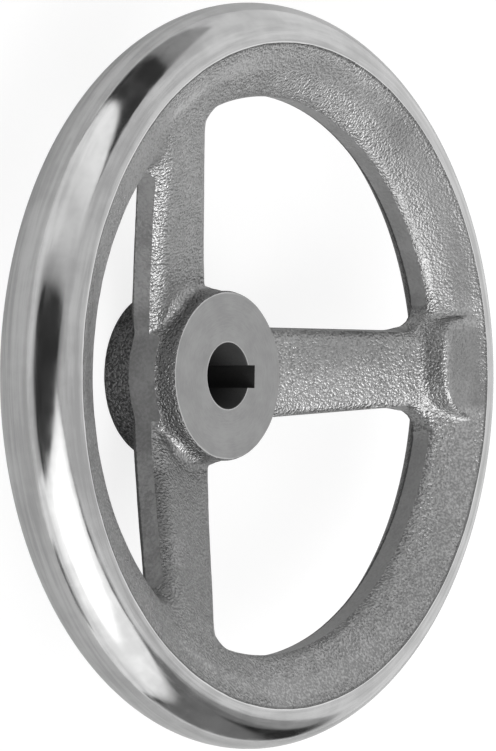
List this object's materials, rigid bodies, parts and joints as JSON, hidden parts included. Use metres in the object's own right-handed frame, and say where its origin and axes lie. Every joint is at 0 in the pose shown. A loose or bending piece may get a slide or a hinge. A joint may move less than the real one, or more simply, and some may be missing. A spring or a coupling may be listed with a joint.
{
  "type": "machine handwheel",
  "caption": "Dished cast-iron machine handwheel with a turned round rim, raked spokes, a keyed hub bore and a flat undrilled boss for a handle.",
  "frame": {"origin": "on the wheel's axis, at the hub's rear face, which is the lowest plane of the part", "axes": "+Z along the axis to the front, the operator's side; +X along the spoke that carries the handle boss"},
  "size_m": [0.16, 0.16, 0.04],
  "materials": {
    "cast_iron": "grey sand casting, turned bright on the rim and the hub's faces"
  },
  "bodies": {
    "root": {"handwheel": "cast_iron"}
  },
  "joints": []
}
